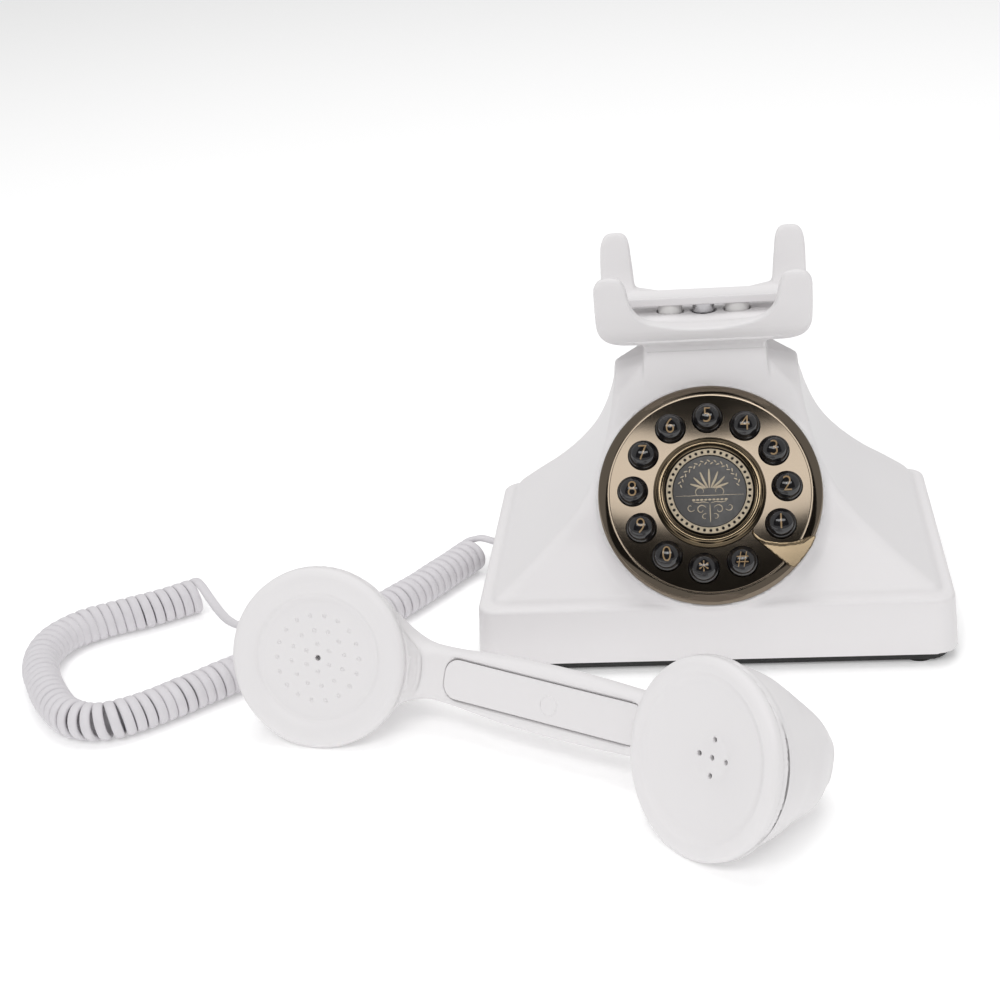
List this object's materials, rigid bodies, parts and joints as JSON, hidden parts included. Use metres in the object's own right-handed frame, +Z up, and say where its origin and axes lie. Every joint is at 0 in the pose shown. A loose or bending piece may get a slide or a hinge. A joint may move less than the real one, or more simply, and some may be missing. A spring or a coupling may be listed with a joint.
{
  "type": "push-button desk telephone",
  "caption": "Tall-necked desk telephone with round push-button dial, sprung cradle hook, four-ear cradle and an off-hook handset on a coiled cord.",
  "frame": {"origin": "centre of the base's footprint on the table", "axes": "+X to the phone's right as the caller sees it, +Y to the back, +Z up"},
  "size_m": [0.3633, 0.2631, 0.1446],
  "materials": {
    "housing_white": "warm white moulded plastic, semi-gloss",
    "cap_white": "warm white moulded plastic, semi-gloss",
    "cradle_white": "warm white moulded plastic, semi-gloss",
    "black_plastic": "black moulded plastic, fine grain",
    "foot_rubber": "black rubber",
    "dial_metal": "black nickel plated, finely brushed",
    "ring_metal": "dark bronze plated rings",
    "medallion": "dark lacquer with bronze ornament",
    "key_black": "gloss black dome with bronze digit",
    "post_white": "white acetal",
    "steel": "plain steel",
    "polished_steel": "polished steel",
    "board_green": "glass epoxy board",
    "mat_rubber": "grey silicone",
    "capsule_metal": "satin aluminium can",
    "plug_clear": "clear polycarbonate",
    "cord_grey": "soft PVC, matte light grey"
  },
  "bodies": {
    "base": {"ballast_plate": "steel", "base_plate": "black_plastic", "base_screws": "steel", "body_shell": "housing_white", "centre_ring": "ring_metal", "cord_coil": "cord_grey", "cord_lead_base": "cord_grey", "cord_lead_handset": "cord_grey", "cord_plug_base": "plug_clear", "cradle": "cradle_white", "dial_plate": "dial_metal", "finger_stop": "dial_metal", "handset_cord_jack": "black_plastic", "hook_bracket": "steel", "hook_spring": "steel", "hook_switch": "black_plastic", "key_mat": "mat_rubber", "keypad_board": "board_green", "keypad_screws": "steel", "line_jack": "black_plastic", "main_board": "board_green", "rubber_feet": "foot_rubber", "speaker": "black_plastic"},
    "key_1": {"key_1": "key_black"},
    "key_2": {"key_2": "key_black"},
    "key_3": {"key_3": "key_black"},
    "key_4": {"key_4": "key_black"},
    "key_5": {"key_5": "key_black"},
    "key_6": {"key_6": "key_black"},
    "key_7": {"key_7": "key_black"},
    "key_8": {"key_8": "key_black"},
    "key_9": {"key_9": "key_black"},
    "key_0": {"key_0": "key_black"},
    "key_star": {"key_star": "key_black"},
    "key_hash": {"key_hash": "key_black"},
    "medallion": {"medallion_button": "medallion"},
    "hook": {"hook_bar": "cradle_white", "hook_post_left": "post_white", "hook_post_right": "post_white", "hook_centre_pin": "polished_steel", "hook_yoke": "post_white"},
    "handset": {"handset_shell": "housing_white", "grip_inlay": "cap_white", "mouthpiece_cap": "cap_white", "earpiece_cap": "cap_white", "microphone": "capsule_metal", "receiver": "black_plastic", "handset_weight": "steel", "handset_socket": "black_plastic", "cord_plug_handset": "plug_clear"}
  },
  "joints": [
    {"name": "press_1", "type": "slide", "parent": "base", "child": "key_1", "axis": [0, 0.8121, -0.5835], "range_m": [0, 0.0015], "stiffness_N_per_m": 600},
    {"name": "press_2", "type": "slide", "parent": "base", "child": "key_2", "axis": [0, 0.8121, -0.5835], "range_m": [0, 0.0015], "stiffness_N_per_m": 600},
    {"name": "press_3", "type": "slide", "parent": "base", "child": "key_3", "axis": [0, 0.8121, -0.5835], "range_m": [0, 0.0015], "stiffness_N_per_m": 600},
    {"name": "press_4", "type": "slide", "parent": "base", "child": "key_4", "axis": [0, 0.8121, -0.5835], "range_m": [0, 0.0015], "stiffness_N_per_m": 600},
    {"name": "press_5", "type": "slide", "parent": "base", "child": "key_5", "axis": [0, 0.8121, -0.5835], "range_m": [0, 0.0015], "stiffness_N_per_m": 600},
    {"name": "press_6", "type": "slide", "parent": "base", "child": "key_6", "axis": [0, 0.8121, -0.5835], "range_m": [0, 0.0015], "stiffness_N_per_m": 600},
    {"name": "press_7", "type": "slide", "parent": "base", "child": "key_7", "axis": [0, 0.8121, -0.5835], "range_m": [0, 0.0015], "stiffness_N_per_m": 600},
    {"name": "press_8", "type": "slide", "parent": "base", "child": "key_8", "axis": [0, 0.8121, -0.5835], "range_m": [0, 0.0015], "stiffness_N_per_m": 600},
    {"name": "press_9", "type": "slide", "parent": "base", "child": "key_9", "axis": [0, 0.8121, -0.5835], "range_m": [0, 0.0015], "stiffness_N_per_m": 600},
    {"name": "press_0", "type": "slide", "parent": "base", "child": "key_0", "axis": [0, 0.8121, -0.5835], "range_m": [0, 0.0015], "stiffness_N_per_m": 600},
    {"name": "press_star", "type": "slide", "parent": "base", "child": "key_star", "axis": [0, 0.8121, -0.5835], "range_m": [0, 0.0015], "stiffness_N_per_m": 600},
    {"name": "press_hash", "type": "slide", "parent": "base", "child": "key_hash", "axis": [0, 0.8121, -0.5835], "range_m": [0, 0.0015], "stiffness_N_per_m": 600},
    {"name": "press_medallion", "type": "slide", "parent": "base", "child": "medallion", "axis": [0, 0.8121, -0.5835], "range_m": [0, 0.001], "stiffness_N_per_m": 900},
    {"name": "hook_press", "type": "slide", "parent": "base", "child": "hook", "axis": [0, 0, -1], "range_m": [0, 0.0025], "stiffness_N_per_m": 400, "deforming": ["hook_spring"]},
    {"name": "handset_lift", "type": "slide", "parent": "base", "child": "handset", "axis": [0, 0, 1], "range_m": [0, 0.06], "deforming": ["cord_lead_handset"]}
  ]
}
